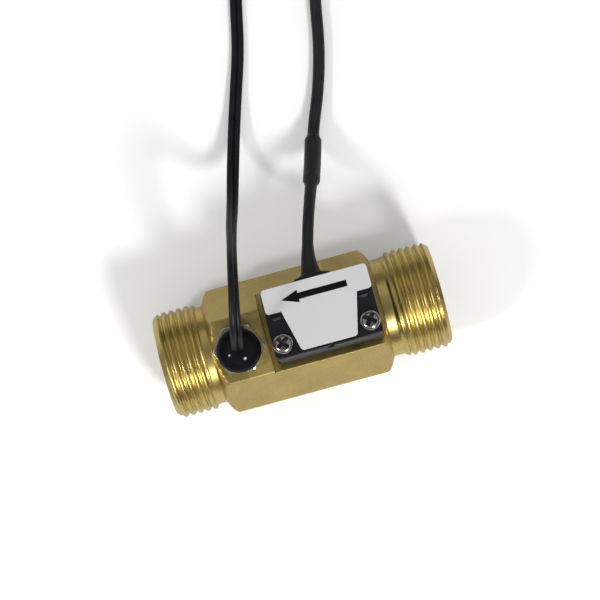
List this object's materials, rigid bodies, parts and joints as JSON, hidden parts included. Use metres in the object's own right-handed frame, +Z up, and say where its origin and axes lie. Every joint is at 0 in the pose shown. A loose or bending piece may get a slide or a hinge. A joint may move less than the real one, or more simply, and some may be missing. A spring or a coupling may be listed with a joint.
{
  "type": "water flow sensor",
  "caption": "In-line water flow sensor: hexagonal brass body with male pipe threads, turbine inside, black Hall module, temperature plug and cables.",
  "frame": {"origin": "centre of the bottom hexagon flat, half way along the body", "axes": "+X along the pipe towards the inlet, +Z up through the temperature plug, +Y to the side where the cables leave"},
  "size_m": [0.1013, 0.1461, 0.0437],
  "materials": {
    "brass": "turned and milled brass, matte on the flats and bright on the threads",
    "probe_plate": "nickel plated",
    "screw_steel": "bright zinc or stainless",
    "shaft_steel": "ground",
    "spring_steel": "spring temper",
    "magnet": "sintered ferrite",
    "guide_plastic": "moulded acetal",
    "rotor_plastic": "moulded acetal",
    "bush_plastic": "filled bearing plastic",
    "seal_rubber": "nitrile",
    "bead_coat": "coated bead",
    "resin_black": "glossy potting resin",
    "housing_black": "fine satin moulding",
    "board_green": "solder mask",
    "chip_black": "moulded package",
    "component_tan": "ceramic body",
    "label_grey": "printed film, light grey with a black arrow",
    "boot_rubber": "moulded rubber",
    "cable_jacket": "satin jacket",
    "twin_jacket": "satin figure-eight jacket",
    "sleeve_black": "shrunk sleeve",
    "tie_nylon": "natural nylon",
    "connector_white": "moulded nylon",
    "contact_brass": "tinned brass"
  },
  "bodies": {
    "root": {"brass_body": "brass", "flow_guide": "guide_plastic", "snap_ring": "spring_steel", "inlet_bush": "bush_plastic", "outlet_support": "guide_plastic", "outlet_bush": "bush_plastic", "ntc_plug": "probe_plate", "ntc_seal_ring": "seal_rubber", "thermistor": "bead_coat", "ntc_potting": "resin_black", "sensor_housing": "housing_black", "sensor_board": "board_green", "hall_chip": "chip_black", "board_components": "component_tan", "sensor_potting": "resin_black", "label_plate": "label_grey", "module_screws": "screw_steel", "cable_boot": "boot_rubber", "signal_cable": "cable_jacket", "signal_sleeve": "sleeve_black", "signal_coil": "cable_jacket", "signal_tie": "tie_nylon", "signal_connector": "connector_white", "signal_contacts": "contact_brass", "ntc_lead": "twin_jacket", "ntc_coil": "twin_jacket", "ntc_tie": "tie_nylon", "ntc_connector": "connector_white", "ntc_contacts": "contact_brass"},
    "rotor_unit": {"rotor": "rotor_plastic", "rotor_magnet": "magnet", "rotor_shaft": "shaft_steel"}
  },
  "joints": [
    {"name": "rotor_spin", "type": "hinge", "parent": "root", "child": "rotor_unit", "pos_m": [0.0016, 0, 0.0135], "axis": [1, 0, 0], "continuous": true}
  ]
}
